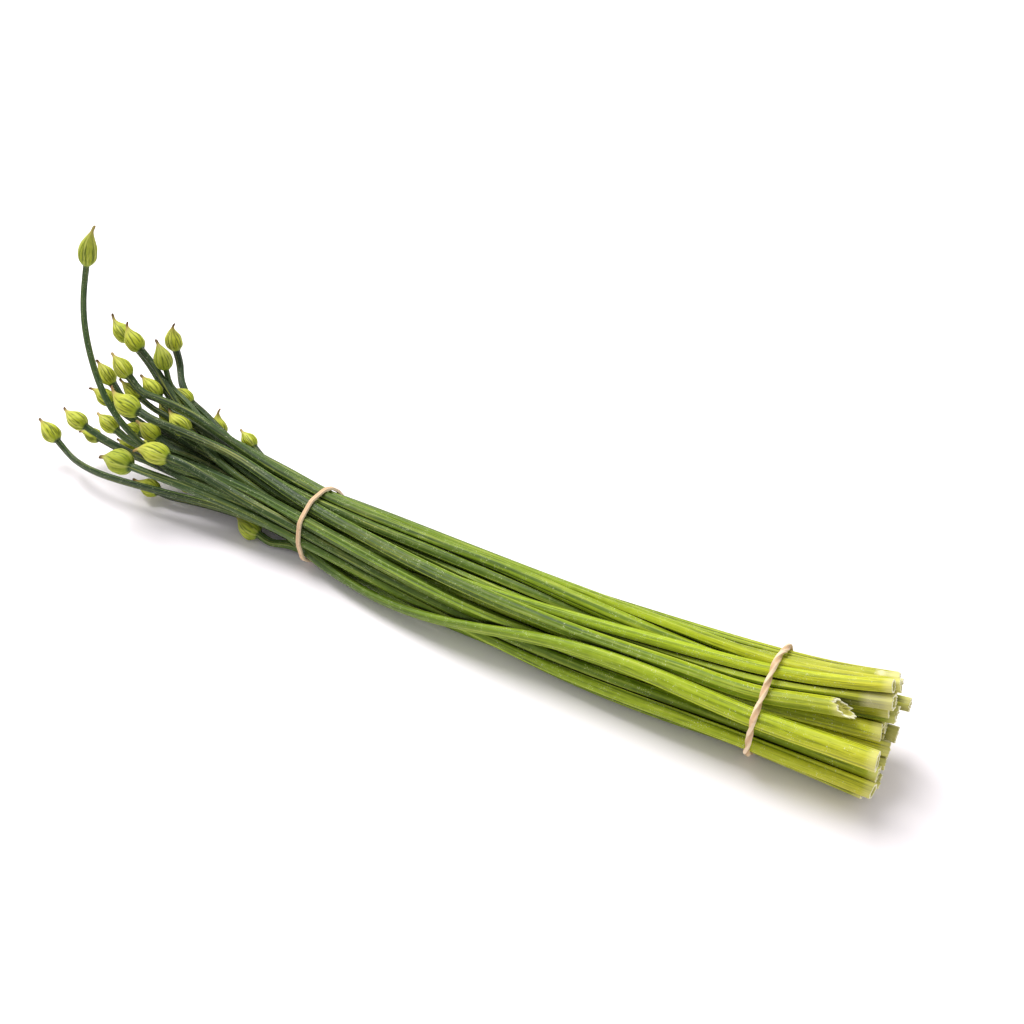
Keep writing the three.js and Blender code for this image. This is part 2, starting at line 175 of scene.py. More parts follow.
# %% Sample every scape
def sample(name):
    """Places, path, frame, packed radius and share along the bud of one scape."""
    centres, radii = routes[name]
    knots = np.r_[0, np.cumsum(np.linalg.norm(np.diff(centres, axis=0), axis=1))]
    bud_start = knots[-BUD_RINGS]
    along = places(knots[-1], knots[-1] - bud_start)
    path = spline(knots, centres, along)
    tangent = unit(np.gradient(path, along, axis=0))
    side = unit(np.array([0, 1, 0]) - tangent[:, [1]] * tangent)
    stem = np.interp(along, knots[: 1 - BUD_RINGS], radii[: 1 - BUD_RINGS])
    swell = spline(knots[-BUD_RINGS:], radii[-BUD_RINGS:], np.maximum(along, bud_start))
    radius = np.where(along > bud_start, swell, stem)
    share = np.clip((along - bud_start) / (knots[-1] - bud_start), 0, 1)
    return along, path, tangent, side, np.cross(tangent, side), radius, share


sampled = [np.stack(parts) for parts in zip(*(sample(name) for name in SCAPES))]
ALONG, PATH, TANGENT, SIDE, UPWARD, RADIUS, SHARE = sampled
print("scapes by places:", RADIUS.shape, "longest", round(float(ALONG.max()), 3))

# %% [markdown]
# ## Pressed together
#
# A scape is round when it grows alone. In a tight bunch it is pressed flat against each neighbour,
# and the gaps close, so its section becomes a polygon with blunt corners. It could be solved as
# soft bodies, but the answer is nearly known: between two discs the pressed face lies on their
# power line, which is nearer to the thinner one. So along each direction a scape reaches to the
# nearest of these faces, or to its full free radius where nothing stops it. The table is one more
# face. A high power mean joins the faces with rounded corners.

# %% Where the bands sit
AROUND = 64  # corners round a scape
TURN = 2 * np.pi * np.arange(AROUND) / AROUND

waist_low, waist_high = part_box("upper_band")
foot_low, foot_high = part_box("lower_band")
WAIST_X = (waist_low.x + waist_high.x) / 2
FOOT_X = (foot_low.x + foot_high.x) / 2
print("between the bands:", round(float((FOOT_X - WAIST_X) / MM)), "mm")

# %% Faces between a scape and its neighbours
SEAM = 0.06 * MM  # between two pressed faces
LEAST_FACE = 0.4  # a face is never nearer than this share of the radius


def neighbour_faces(index):
    """The direction of each neighbour, as (side, rise), and how far off the pressed face lies.

    The face is at (distance squared + own radius squared - theirs squared) / twice the distance."""
    others = np.delete(np.arange(len(SCAPES)), index)
    here = PATH[index][:, None, :]
    gaps = ((here[:, :, None, :] - PATH[others][None]) ** 2).sum(3)
    nearest = gaps.argmin(2)
    offset = PATH[others[None], nearest] - here
    heading = TANGENT[others[None], nearest]
    offset = offset - (offset * heading).sum(2, keepdims=True) * heading
    distance = np.linalg.norm(offset, axis=2)
    own = RADIUS[index][:, None]
    theirs = RADIUS[others[None], nearest]
    face = (distance**2 + own**2 - theirs**2) / (2 * distance) - SEAM / 2
    side = (offset * SIDE[index][:, None]).sum(2) / distance
    rise = (offset * UPWARD[index][:, None]).sum(2) / distance
    return side, rise, np.maximum(face, LEAST_FACE * own)


# %% Sections pressed by their neighbours
BLUNT = 11  # power of the mean: higher gives sharper corners
FULL = 1.2  # free radius of a bundled scape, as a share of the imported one
LOOSE = 1.06  # and in the open fan
FAN = 45 * MM  # the bundle opens into the fan over this length
TABLE_GAP = 0.05 * MM  # left under a scape that lies on the table
LEAST_HEIGHT = 0.3  # the table is never nearer than this share of the radius


def pressed(index):
    """Radius of one scape on the grid of places and directions, and how hard it is pressed there.

    The radius is the power mean of the free radius, the distances to the faces and the table."""
    side, rise, face = neighbour_faces(index)
    toward = side[:, :, None] * np.cos(TURN) + rise[:, :, None] * np.sin(TURN)
    crowd = (np.maximum(toward, 0) / face[:, :, None]) ** BLUNT
    own = RADIUS[index][:, None]
    down = -(SIDE[index][:, [2]] * np.cos(TURN) + UPWARD[index][:, [2]] * np.sin(TURN))
    height = np.maximum(PATH[index][:, [2]] - TABLE_GAP, LEAST_HEIGHT * own)
    table = (np.maximum(down, 0) / height) ** BLUNT
    tight = LOOSE + (FULL - LOOSE) * smoothstep(WAIST_X - FAN, WAIST_X, PATH[index][:, 0])
    free = own * tight[:, None]
    radius = (free**-BLUNT + crowd.sum(1) + table) ** (-1 / BLUNT)
    return radius, 1 - radius / free


sections = [pressed(index) for index in range(len(SCAPES))]
PRESSED, SQUEEZE = (np.stack(grids) for grids in zip(*sections))
print("radii, mm:", round(float(PRESSED.min() / MM), 2), round(float(PRESSED.max() / MM), 2))

# %% [markdown]
# ## Ridges and furrows
#
# A chive scape has a few sharp ridges that run its whole length and wind slowly round it. They are
# painted paler than the flats between them, a painted highlight, each flat has a tone of its own,
# and some flats sink into a furrow that is painted dark as shade. A bump pattern would not show on
# the outline, so ridges and furrows are in the radius itself.

# %% Ridges along a scape
RIDGE_WIDTH = 0.13  # radians
RIDGE_HEIGHT = 0.15  # share of the radius
RIDGE_SHARPNESS = 1.2  # a power of 2 would be a round bell, 1 a sharp tent
FURROW_WIDTH = 0.12  # radians
FURROW_DEPTH = 0.11  # share of the radius


def around_from(line):
    """Angle from each direction to a line that wanders round the scape, from -pi to pi."""
    return (TURN[None, :] - line[:, None] + np.pi) % (2 * np.pi) - np.pi


def ridges(draw, along):
    """Grids of how near each point is to a ridge, how near to a furrow, and the tone of its flat.

    Ridge k stands at an even share of the turn, a little off it, plus a slow winding."""
    count = draw.integers(5, 9)
    uneven = draw.uniform(-0.3, 0.3, count)
    sharp = draw.uniform(0.3, 1, count)
    tones = draw.uniform(0, 1, count)
    hollow = draw.uniform(-0.3, 1, count)
    first = draw.uniform(0, 2 * np.pi)
    winding = draw.uniform(-3, 3)
    height, furrow, flat = np.zeros((3, len(along), AROUND))
    for k in range(count):
        off = around_from(first + uneven[k] + 2 * np.pi * k / count + winding * along)
        crest = sharp[k] * np.exp(-np.abs(off / RIDGE_WIDTH) ** RIDGE_SHARPNESS)
        height = np.maximum(height, crest)
        off = around_from(first + uneven[k] + 2 * np.pi * (k + 0.5) / count + winding * along)
        furrow = np.maximum(furrow, hollow[k] * np.exp(-((off / FURROW_WIDTH) ** 2)))
        flat = np.where(np.abs(off) < np.pi / count, tones[k], flat)
    return height, furrow, flat


# %% [markdown]
# ## The sheath on a stem
#
# Two scapes still wear the end of an old leaf sheath just behind the cut. It ends in a pale rim,
# and the bare stem below it is a little thinner. It could be a thin tube of its own, but it clings
# to the stem, so a small step in the radius and a pale mark are enough.

# %% Shape of the stem between cut and bud
SHEATHED = {"chive_07": 8 * MM, "chive_26": 5 * MM}  # where an old sheath ends
SHEATH_EDGE = 0.3 * MM
SHEATH_RIM = 0.35 * MM
BARE = 0.93  # radius of the stem below its sheath
MATURE = (10 * MM, 60 * MM)  # the ridges grow from half to full height between these
JOINT_SWELL = 0.1  # the stem thickens by this share just under the bud


def stem_relief(along, bud, ridge, furrow, sheath):
    """The stem's radius as a share of its pressed one: ridges, furrows, swollen joint, sheath."""
    young = 0.5 + 0.5 * smoothstep(*MATURE, along)[:, None]
    shape = 1 + RIDGE_HEIGHT * young * (ridge - 0.4) - FURROW_DEPTH * furrow
    joint = smoothstep(along[-1] - 1.5 * bud, along[-1] - bud, along)[:, None]
    shape = shape + JOINT_SWELL * joint
    step = 1.0
    if sheath:
        step = smoothstep(sheath - SHEATH_EDGE, sheath + SHEATH_EDGE, along)[:, None]
    return shape * (BARE + (1 - BARE) * step)


def sheath_mark(along, sheath):
    """How pale the sheath makes each place: 1 on its rim, a half on the bare stem below it."""
    if not sheath:
        return 0 * along
    rim = np.exp(-(((along - sheath) / SHEATH_RIM) ** 2))
    return np.maximum(rim, 0.5 * (1 - smoothstep(sheath - SHEATH_EDGE, sheath, along)))


# %% [markdown]
# ## The bud
#
# The closed bud is a papery sheath drawn tight over a ball of packed florets. It shrinks on them
# into fine lengthwise folds, and above them it closes to a dry beak that bends and withers. The
# folds could be painted, but the light should catch them, so each one is a groove in the radius:
# it starts just above the joint, wanders a little, and dies out somewhere on the shoulder.

# %% Folds of a bud
FOLD_WIDTH = 0.06  # radians
FOLD_EASE = 0.12  # share of the bud over which a fold sets in
FOLD_FADE = 0.3  # and over which it dies out


def folds(draw, share):
    """How deep each point lies in a fold, from 0 to 1, on the grid of places and directions."""
    count = draw.integers(19, 25)
    depth = np.zeros((len(share), AROUND))
    for k in range(count):
        wander = 0.1 * np.sin(5 * share + draw.uniform(0, 6)) + draw.uniform(-0.12, 0.12) * share
        off = around_from(2 * np.pi * (k + draw.uniform(-0.3, 0.3)) / count + wander)
        start = draw.uniform(0.0, 0.12)
        stop = draw.uniform(0.6, 1.05)
        window = smoothstep(start, start + FOLD_EASE, share)
        window = window * (1 - smoothstep(stop - FOLD_FADE, stop, share))
        groove = draw.uniform(0.4, 1) * np.exp(-((off / FOLD_WIDTH) ** 2))
        depth = np.maximum(depth, window[:, None] * groove)
    return depth


# %% Belly, beak and tip of a bud
BUD_SIZE = 0.96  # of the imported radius
SWELLING = 0.025  # of the radius, each way
FOLD_DEPTH = 0.1
BEAK = 0.3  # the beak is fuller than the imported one
BEAK_CREASE = 0.12
TIP = 0.8


def bell(middle, width, x):
    """A bell curve round middle."""
    return np.exp(-(((x - middle) / width) ** 2))


def bud_relief(draw, share, depth):
    """The bud's radius as a share of its packed one: folds, a few swellings and a full beak."""
    belly = (smoothstep(0.03, 0.2, share) * (1 - smoothstep(0.6, 0.85, share)))[:, None]
    rise = share[:, None]
    swelling = np.zeros((len(share), AROUND))
    for turns in (2, 3, 5):
        phase = draw.uniform(0, 6, 2)
        swelling += np.cos(turns * TURN + phase[0] + 4 * rise) * np.cos(7 * rise + phase[1])
    creases = BEAK_CREASE * np.cos(3 * TURN + draw.uniform(0, 6) + 3 * rise)
    beak = bell(0.82, 0.11, share)[:, None] * (BEAK + creases)
    tip = TIP * bell(0.97, 0.07, share)[:, None]
    return BUD_SIZE + belly * SWELLING * swelling - FOLD_DEPTH * depth + beak + tip


# %% [markdown]
# ## The cut end
#
# A knife leaves each scape with a nearly flat face: a firm pale rim and a softer pith that has
# dried a little below it. The face could be a separate disc, but then a seam would show, so it is
# part of the same skin: the first rings of the grid run from the middle of the pith out to the
# rim. Every scape's face leans its own way, and the lean fades out within a few millimetres. One
# short scape was torn off, so its face is steep and ragged.

# %% Lean of the cut face
FACE_RADIUS = np.array([0.25, 0.5, 0.66, 0.72, 0.8, 0.93, 1.0])  # shares of the scape's radius
FACE_DEPTH = np.array([0.9, 0.85, 0.7, 0.15, 0.0, 0.0, 0.1]) * MM  # how far below the rim
FACE_FADE = 6 * MM  # the lean of the face is gone this far along
TORN = "chive_11"
TORN_LEAN = 1.3  # of the radius; a cut one leans by a quarter of it at most
TORN_RAG = 0.3


def face_lean(draw, name, size):
    """How far back the rim lies in each direction: a tilted plane plus three waves of raggedness."""
    lean = TORN_LEAN if name == TORN else draw.uniform(0.02, 0.25)
    heading = draw.uniform(0, 2 * np.pi)
    rag = TORN_RAG if name == TORN else draw.uniform(0.02, 0.1)
    phases = draw.uniform(0, 6, 3)
    waves = np.sin(5 * TURN + phases[0]) + np.sin(9 * TURN + phases[1]) + np.sin(14 * TURN + phases[2])
    return size * (lean * np.cos(TURN - heading) + rag * waves / 2)


# %% [markdown]
# ## The scape that bows out
#
# One scape leaves the bundle behind the upper band, bows out along the front and crosses back. It
# is soft there and has gone flat, wide across the bow and thin through it. The section is turned to
# the bow's own direction, stretched and squeezed, and turned back.

# %% Press the bowed scape flat
BOWED = SCAPES[-1]
BOW_TURN = np.radians(50)
BOW_WIDER = 0.3
BOW_THINNER = 0.35


def press_flat(across, rise, path):
    """The section made wider one way and thinner the other, by a share that comes and goes."""
    where = (path[:, 0] - WAIST_X) / (FOOT_X - WAIST_X)
    flat = (smoothstep(0.02, 0.15, where) * (1 - smoothstep(0.4, 0.9, where)))[:, None]
    cos, sin = np.cos(BOW_TURN), np.sin(BOW_TURN)
    wide = (cos * across + sin * rise) * (1 + BOW_WIDER * flat)
    thin = (cos * rise - sin * across) * (1 - BOW_THINNER * flat)
    return cos * wide - sin * thin, sin * wide + cos * thin


# %% [markdown]
# ## One scape's skin
#
# The whole scape is one grid: a row of rings from the pith to the tip of the beak, each with the
# same number of corners, closed by a single corner at both ends. What the finish needs to know is
# kept with the corners as attributes: the distance from the cut end, the share along the bud, how
# near a ridge or fold is, and where on the cut face a corner lies.

# %% What the finish needs to know
GRAIN_RADIUS = 2  # mm: the grain is drawn on a plain tube of this radius


def surface_facts(index, reliefs, on_bud, sheath):
    """Numbers for every ring or corner of a scape by name, with those of the cut face in front."""
    ridge, furrow, flat, depth = reliefs
    along = ALONG[index]
    faces = len(FACE_RADIUS)
    blank = np.zeros((faces, AROUND))
    wall = np.ones((len(along), AROUND))
    circle = [GRAIN_RADIUS * np.cos(TURN) * wall, GRAIN_RADIUS * np.sin(TURN) * wall]
    grain = np.stack([*circle, along[:, None] / MM * wall], 2)
    return {
        "along": np.r_[np.zeros(faces), along],
        "bud": np.r_[np.zeros(faces), SHARE[index]],
        "ridge": np.concatenate([blank, ridge * (1 - on_bud)]),
        "furrow": np.concatenate([blank, np.maximum(furrow, 0) * (1 - on_bud)]),
        "flat": np.concatenate([blank, flat]),
        "squeeze": np.concatenate([blank, SQUEEZE[index]]),
        "fold": np.concatenate([blank, depth]),
        "cut": np.r_[1.2 - FACE_RADIUS, np.zeros(len(along))],
        "sheath": np.r_[np.zeros(faces), sheath_mark(along, sheath)],
        "grain": np.concatenate([np.repeat(grain[:1], faces, 0), grain]),
    }


# %% Build the grid of one scape
BEAK_START = 0.55  # the beak bends from here on
BUD_EASE = 0.06  # share of the bud over which the stem's shape gives way to the bud's
TIP_REACH = 0.3 * MM  # the last corner stands this far past the last ring


def skin(index, draw):
    """Corner grid, first and last corner, and surface facts of one scape.

    A corner is the path plus the radius times (cos, sin) of its direction in the place's frame."""
    name = SCAPES[index]
    parts = (ALONG, PATH, TANGENT, SIDE, UPWARD, SHARE)
    along, path, tangent, side, up, share = (part[index] for part in parts)
    sheath = SHEATHED.get(name, 0)
    bud = (along[-1] - along[np.argmax(share > 0)]) * 1.01
    ridge, furrow, flat = ridges(draw, along)
    depth = folds(draw, share)
    on_bud = smoothstep(0, BUD_EASE, share)[:, None]
    stem_shape = stem_relief(along, bud, ridge, furrow, sheath)
    radius = PRESSED[index] * (stem_shape * (1 - on_bud) + bud_relief(draw, share, depth) * on_bud)
    across = radius * np.cos(TURN)
    rise = radius * np.sin(TURN)
    if name == BOWED:
        across, rise = press_flat(across, rise, path)

    bend = np.clip(share - BEAK_START, 0, 1)[:, None] ** 2 * bud * draw.uniform(0.1, 1.5)
    heading = draw.uniform(0, 2 * np.pi)
    hook = bend * (np.cos(heading) * side + np.sin(heading) * up)
    lean = face_lean(draw, name, RADIUS[index][0])
    fade = np.clip(1 - along / FACE_FADE, 0, 1)[:, None] ** 2
    wall = (
        (path + hook)[:, None, :]
        + across[:, :, None] * side[:, None, :]
        + rise[:, :, None] * up[:, None, :]
        + (lean * fade)[:, :, None] * tangent[:, None, :]
    )
    rim = across[0][:, None] * side[0] + rise[0][:, None] * up[0]
    sink = FACE_DEPTH[:, None] + lean * FACE_RADIUS[:, None] - along[0]
    face = path[0] + FACE_RADIUS[:, None, None] * rim + sink[:, :, None] * tangent[0]
    pith = path[0] + (FACE_DEPTH[0] - along[0]) * tangent[0]
    tip = path[-1] + hook[-1] + TIP_REACH * tangent[-1]
    facts = surface_facts(index, (ridge, furrow, flat, depth), on_bud, sheath)
    return np.concatenate([face, wall]), pith, tip, facts


# %% [markdown]
# ## From grid to mesh
#
# A grid closed round its rings needs quads between neighbouring rings and a fan of triangles at
# each end. As whole arrays of corner numbers they take no time, and foreach_set puts them into the
# mesh at once.


# %% Mesh a closed grid
def closed_faces(count):
    """Quads between the rings of a closed grid, then its two end fans, all facing outwards."""
    ring, turn = np.meshgrid(np.arange(count - 1), np.arange(AROUND), indexing="ij")
    here = ring * AROUND
    there = here + AROUND
    after = (turn + 1) % AROUND
    quads = np.stack([here + turn, here + after, there + after, there + turn], 2).reshape(-1, 4)
    turn = np.arange(AROUND)
    after = (turn + 1) % AROUND
    last_ring = (count - 1) * AROUND
    first = np.stack([np.full(AROUND, count * AROUND), after, turn], 1)
    last = np.stack([np.full(AROUND, count * AROUND + 1), last_ring + turn, last_ring + after], 1)
    return quads, np.concatenate([first, last])


def mesh_from(name, points, quads, triangles):
    """A mesh object made of quads and triangles, smooth shaded."""
    mesh = bpy.data.meshes.new(name)
    corners = np.r_[quads.ravel(), triangles.ravel()]
    sizes = np.r_[np.full(len(quads), 4), np.full(len(triangles), 3)]
    mesh.vertices.add(len(points))
    mesh.vertices.foreach_set("co", points.astype(np.float32).ravel())
    mesh.loops.add(len(corners))
    mesh.loops.foreach_set("vertex_index", corners.astype(np.int32))
    mesh.polygons.add(len(sizes))
    mesh.polygons.foreach_set("loop_start", (np.cumsum(sizes) - sizes).astype(np.int32))
    mesh.polygons.foreach_set("use_smooth", np.ones(len(sizes), bool))
    mesh.update(calc_edges=True)
    piece = bpy.data.objects.new(name, mesh)
    bpy.context.scene.collection.objects.link(piece)
    return piece


def attribute(mesh, name, values):
    """Keeps a number or a vector for every corner point of the mesh."""
    vector = values.ndim == 2
    layer = mesh.attributes.new(name, "FLOAT_VECTOR" if vector else "FLOAT", "POINT")
    layer.data.foreach_set("vector" if vector else "value", values.astype(np.float32).ravel())


# %% [markdown]
# ## The picture map
#
# A scape is a hundred times as long as it is wide, so on one straight strip its picture would be
# nearly all blank. The stem is laid out in six strips side by side instead, and the bud, which has
# the most detail, gets a wide strip of its own. The two end fans lie along the edges.

# %% Lay the skin out flat
STRIPS = 6  # strips of the stem on its picture map
BUD_STRIP = 0.34  # share of the map's width kept for the bud
STEM_STRIP = (1 - BUD_STRIP) / STRIPS
EDGE = 0.004  # free edge beside a strip
BOTTOM = 0.01  # free edge below the strips, and again above them


def picture_map(mesh, count, share):
    """Lays the grid out flat: across a strip goes the turn, and up it go the rings."""
    ring = np.repeat(np.arange(count - 1), AROUND)
    turn = np.tile(np.arange(AROUND), count - 1)
    bud_start = int(np.argmax(share > 0)) - 1
    per_strip = int(np.ceil(bud_start / STRIPS))
    on_bud = ring >= bud_start
    strip = np.where(on_bud, STRIPS, ring // per_strip)
    start = np.where(on_bud, bud_start, strip * per_strip)
    tall = np.where(on_bud, count - bud_start, per_strip + 0.5)
    width = np.where(on_bud, BUD_STRIP, STEM_STRIP)
    across = np.stack([turn, turn + 1, turn + 1, turn], 1) / AROUND
    height = np.stack([ring, ring, ring + 1, ring + 1], 1) - start[:, None]
    u = (strip * STEM_STRIP)[:, None] + EDGE + across * (width[:, None] - 2 * EDGE)
    v = BOTTOM + (1 - 2 * BOTTOM) * height / tall[:, None]
    side = np.arange(AROUND) / AROUND
    after = side + 1 / AROUND
    first_u = EDGE + np.stack([side, after, side], 1) * (STEM_STRIP - 2 * EDGE)
    first_v = np.tile([0.2 * BOTTOM, BOTTOM, BOTTOM], (AROUND, 1))
    fan = np.stack([side, side, after], 1) * (BUD_STRIP - 2 * EDGE)
    last_u = STRIPS * STEM_STRIP + EDGE + fan
    reach = BOTTOM + (1 - 2 * BOTTOM) * (count - 1 - bud_start) / (count - bud_start)
    last_v = np.tile([1 - 0.2 * BOTTOM, reach, reach], (AROUND, 1))
    pairs = ((u, v), (first_u, first_v), (last_u, last_v))
    uv = np.concatenate([np.stack(pair, 2).reshape(-1, 2) for pair in pairs])
    layer = mesh.uv_layers.new(name="OFBake")
    layer.data.foreach_set("uv", uv.astype(np.float32).ravel())


# %% [markdown]
# ## Growing the bunch
#
# No two scapes are alike, so each one has its own seeded draws for its ridges, folds and cut, and
# three traits for its finish: how fresh it is, how far its green has moved up, and how dry its beak
# is. Only two that stand out, the bowed one and the torn one, have their freshness given.

# %% Grow every scape
FRESHNESS = {BOWED: 1.0, TORN: 0.3}
FIRST_SEED = 40
skins = {}


def keep_facts(mesh, facts):
    """Keeps each fact on the mesh, with the two end corners taking those of the nearest ring."""
    for key, values in facts.items():
        if values.ndim == 1:
            values = np.repeat(values[:, None], AROUND, 1)
        flat = values.reshape(len(values) * AROUND, -1)
        flat = np.concatenate([flat, flat[:1], flat[-1:]])
        attribute(mesh, key, flat if flat.shape[1] == 3 else flat[:, 0])


def grow(index):
    """The visible piece of one scape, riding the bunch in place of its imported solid."""
    name = SCAPES[index]
    draw = np.random.default_rng(FIRST_SEED + index)
    rings, pith, tip, facts = skin(index, draw)
    points = np.concatenate([rings.reshape(-1, 3), pith[None], tip[None]])
    piece = mesh_from(name.replace("chive", "scape"), points, *closed_faces(len(rings)))
    picture_map(piece.data, len(rings), facts["bud"])
    keep_facts(piece.data, facts)
    traits = {key: draw.uniform(0, 1) for key in ("tone", "shift", "dryness")}
    traits["tone"] = FRESHNESS.get(name, traits["tone"])
    for key, value in traits.items():
        attribute(piece.data, key, np.full(len(points), value))
    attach(piece, "root")
    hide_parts(name)
    skins[name] = rings[len(FACE_RADIUS) :]
    return piece


scapes = [grow(index) for index in range(len(SCAPES))]
print("faces on scapes:", sum(len(piece.data.polygons) for piece in scapes))

# %% [markdown]
# ## The rubber bands
#
# A tight band lies on the outermost scapes and runs straight from one to the next, so its line is
# the outline that a string pulled round the bundle would take. It could be a ring that is shrunk
# onto the bundle, but the answer is simpler: for each direction round the bundle, the scape that
# reaches furthest that way carries the band. The upper band is a flat strip with a shallow groove;
# the lower one was put on twisted, so its section turns as it goes round.

# %% The tight line round the bundle
BAND_STEPS = 720
EASE = 12  # steps on each side that soften a corner of the line
EASE_WIDTH = 5  # steps


def touched_by(x):
    """Corners of every scape next to station x, as (y, z)."""
    touched = []
    for rings in skins.values():
        middle = rings[:, :, 0].mean(1)
        step = np.argmax((middle[:-1] >= x) & (middle[1:] < x))
        touched.append(rings[step - 1 : step + 3].reshape(-1, 3)[:, 1:])
    return np.concatenate(touched)


def tight_line(x, lift):
    """Middle line of a band at station x, its outward normals and its length.

    It is the corner furthest out in each direction, lifted, spaced evenly and softened."""
    corners = touched_by(x)
    angle = np.linspace(0, 2 * np.pi, BAND_STEPS, endpoint=False)
    outward = np.stack([np.cos(angle), np.sin(angle)], 1)
    line = corners[np.argmax(outward @ corners.T, 1)] + lift * outward
    closed = np.concatenate([line, line[:1]])
    distance = np.r_[0, np.cumsum(np.linalg.norm(np.diff(closed, axis=0), axis=1))]
    even = np.linspace(0, distance[-1], BAND_STEPS, endpoint=False)
    line = np.stack([np.interp(even, distance, closed[:, k]) for k in range(2)], 1)
    spread = np.exp(-((np.arange(-EASE, EASE + 1) / EASE_WIDTH) ** 2))
    spread = spread / spread.sum()
    wrapped = np.concatenate([line[-EASE:], line, line[:EASE]])
    line = np.stack([np.convolve(wrapped[:, k], spread, "valid") for k in range(2)], 1)
    ahead = np.roll(line, -6, 0) - np.roll(line, 6, 0)
    normal = unit(np.stack([ahead[:, 1], -ahead[:, 0]], 1))
    return line, normal, distance[-1]


# %% A strip carried round the line
STRIP_CORNERS = 20
SQUARE = 0.45  # 1 would be an oval section, 0 a sharp box
GROOVE = 0.12 * MM
TABLE_CLEAR = 0.02 * MM  # the band is pressed flat on the table, and stays this far above it


def squared(wave):
    """A wave with its values pushed towards -1 and 1."""
    return np.sign(wave) * np.abs(wave) ** SQUARE


def strip_section(width, thickness):
    """Outline of a strip: a rounded box, (across, out), with a shallow groove in its outer face."""
    angle = np.linspace(0, 2 * np.pi, STRIP_CORNERS, endpoint=False)
    across = squared(np.cos(angle)) * width / 2
    out = squared(np.sin(angle)) * thickness / 2
    out = out - GROOVE * np.exp(-((across / (0.2 * width)) ** 2)) * (out > 0)
    return across, out


def band_points(x, line, normal, section, turns):
    """Corners of a band: its section, twisted by the angle at each step, set along the normals."""
    across, out = section
    step = np.arange(BAND_STEPS) / BAND_STEPS
    wander = 0.12 * np.sin(2 * np.pi * 3 * step + 1)
    twist = (2 * np.pi * turns * step + wander * (turns > 0))[:, None]
    sway = 0.25 * MM * np.sin(2 * np.pi * 2 * step + 2)[:, None]
    along = across * np.cos(twist) - out * np.sin(twist)
    away = across * np.sin(twist) + out * np.cos(twist)
    points = np.empty((BAND_STEPS, STRIP_CORNERS, 3))
    points[:, :, 0] = x + along + sway
    points[:, :, 1:] = line[:, None, :] + away[:, :, None] * normal[:, None, :]
    points[:, :, 2] = np.maximum(points[:, :, 2], TABLE_CLEAR)
    return points.reshape(-1, 3)


# %% Make both bands
def make_band(node, width, thickness, turns, sink):
    """One band riding the bunch: a grid closed both ways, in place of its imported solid."""
    low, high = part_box(node)
    x = (low.x + high.x) / 2
    line, normal, length = tight_line(x, thickness / 2 - sink)
    section = strip_section(width, thickness)
    ring, turn = np.meshgrid(np.arange(BAND_STEPS), np.arange(STRIP_CORNERS), indexing="ij")
    here = ring * STRIP_CORNERS
    there = (ring + 1) % BAND_STEPS * STRIP_CORNERS
    after = (turn + 1) % STRIP_CORNERS
    quads = np.stack([here + turn, here + after, there + after, there + turn], 2).reshape(-1, 4)
    points = band_points(x, line, normal, section, turns)
    piece = mesh_from(node.replace("_", "_rubber_"), points, quads, np.empty((0, 3), int))
    step = np.arange(BAND_STEPS) / BAND_STEPS
    attribute(piece.data, "edge", np.tile(np.abs(section[0]) / (width / 2), BAND_STEPS))
    attribute(piece.data, "around", np.repeat(step * length / MM, STRIP_CORNERS))
    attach(piece, "root")
    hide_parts(node)
    print(node, "is", round(length / MM), "mm round")
    return piece


bands = [
    make_band("upper_band", width=1.45 * MM, thickness=1.2 * MM, turns=0, sink=0),
    make_band("lower_band", width=1.9 * MM, thickness=1.3 * MM, turns=6, sink=0.1 * MM),
]

# %% [markdown]
# ## Writing a finish as sums
#
# A finish is easier to read as arithmetic than as a list of links. Wire wraps one output of a
# node; adding or multiplying wires makes the Math node that does it, and node() makes any other
# node, settings first and sockets after.


# %% A wire between nodes
class Wire:
    """One value in a node tree, with arithmetic."""

    def __init__(self, tree, socket):
        self.tree = tree
        self.socket = socket

    @classmethod
    def node(cls, tree, kind, settings=None, sockets=None, output=0):
        """Adds a node: settings are its properties or ramp stops, sockets its values or wires."""
        made = tree.nodes.new(kind)
        for key, value in (settings or {}).items():
            if key == "stops":
                set_stops(made.color_ramp, value)
            else:
                setattr(made, key, value)
        for key, value in (sockets or {}).items():
            if isinstance(value, Wire):
                tree.links.new(value.socket, made.inputs[key])
            else:
                made.inputs[key].default_value = value
        return cls(tree, made.outputs[output])

    def maths(self, operation, first, second):
        """A Math node on two numbers or wires."""
        settings = {"operation": operation}
        return Wire.node(self.tree, "ShaderNodeMath", settings, {0: first, 1: second})

    def __add__(self, other):
        return self.maths("ADD", self, other)

    def __mul__(self, other):
        return self.maths("MULTIPLY", self, other)

    def __sub__(self, other):
        return self.maths("SUBTRACT", self, other)

    def __rsub__(self, other):
        return self.maths("SUBTRACT", other, self)

    __radd__ = __add__
    __rmul__ = __mul__

    def ramp(self, *stops):
        """A colour ramp read at this value; each stop is (place, red, green, blue)."""
        return Wire.node(self.tree, "ShaderNodeValToRGB", {"stops": stops}, {0: self})

    def between(self, low, high):
        """0 below low, 1 above high, smooth between."""
        settings = {"interpolation_type": "SMOOTHSTEP", "clamp": True}
        return Wire.node(self.tree, "ShaderNodeMapRange", settings, {0: self, 1: low, 2: high})

    def tint(self, other, share):
        """This colour blended with another by share."""
        settings = {"data_type": "RGBA", "blend_type": "MIX"}
        return Wire.node(self.tree, "ShaderNodeMix", settings, {0: share, 6: self, 7: other}, 2)


# %% Ramps, colours and an empty finish
def set_stops(ramp, stops):
    """Puts the stops on a colour ramp, in order."""
    while len(ramp.elements) < len(stops):
        ramp.elements.new(1.0)
    for element, (place, *colour) in zip(ramp.elements, stops):
        element.position = place
        element.color = paint(*colour)


